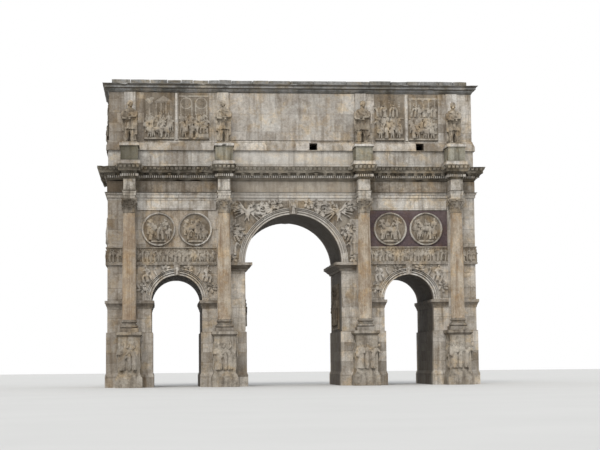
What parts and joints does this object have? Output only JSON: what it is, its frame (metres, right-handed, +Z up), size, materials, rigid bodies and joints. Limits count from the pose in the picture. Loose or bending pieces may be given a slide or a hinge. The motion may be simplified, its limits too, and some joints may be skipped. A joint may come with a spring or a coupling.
{
  "type": "Roman triple-bay triumphal arch",
  "caption": "Marble triumphal arch with a tall central passage, lower side passages, columns on pedestals, statues and a hollow attic.",
  "frame": {"origin": "on the ground, in the middle of the central passage, half way between the front and the back", "axes": "+X along the front to the viewer's right, +Y from the front to the back, +Z up"},
  "size_m": [26.2, 10.26, 20.7],
  "materials": {
    "wall_marble": "weathered pale marble blocks",
    "moulding_marble": "weathered carved marble",
    "relief_marble": "weathered relief marble",
    "yellow_marble": "worn yellow marble",
    "purple_stone": "dull purple stone",
    "green_marble": "dull grey-green marble",
    "statue_stone": "worn tan stone",
    "weathered_cornice": "dark lichened marble"
  },
  "bodies": {
    "root": {"outer_pier_right": "wall_marble", "outer_pier_left": "wall_marble", "inner_pier_right": "wall_marble", "inner_pier_left": "wall_marble", "side_vault_right": "wall_marble", "side_vault_left": "wall_marble", "central_vault": "wall_marble", "wall_over_right_arch": "wall_marble", "wall_over_left_arch": "wall_marble", "central_imposts": "moulding_marble", "side_imposts": "moulding_marble", "archivolts": "moulding_marble", "central_keystones": "moulding_marble", "side_keystones": "moulding_marble", "string_courses": "moulding_marble", "narrow_friezes": "relief_marble", "coloured_surrounds": "purple_stone", "roundels": "relief_marble", "pedestals": "relief_marble", "column_bases": "moulding_marble", "column_shafts": "yellow_marble", "column_capitals": "moulding_marble", "pilasters": "wall_marble", "architrave": "moulding_marble", "frieze": "wall_marble", "cornice": "weathered_cornice", "ressauts": "weathered_cornice", "modillions": "weathered_cornice", "attic_dado_front": "wall_marble", "attic_dado_back": "wall_marble", "window_course_front": "wall_marble", "window_course_back": "wall_marble", "window_sills_and_lintels": "wall_marble", "attic_front_wall": "wall_marble", "attic_back_wall": "wall_marble", "attic_right_wall": "wall_marble", "attic_left_wall": "wall_marble", "attic_cornice": "weathered_cornice", "roof_slab": "weathered_cornice", "blocking_course": "weathered_cornice", "attic_pilasters": "wall_marble", "relief_panels": "relief_marble", "inscription_panels": "wall_marble", "statue_blocks": "green_marble", "statues": "statue_stone"}
  },
  "joints": []
}
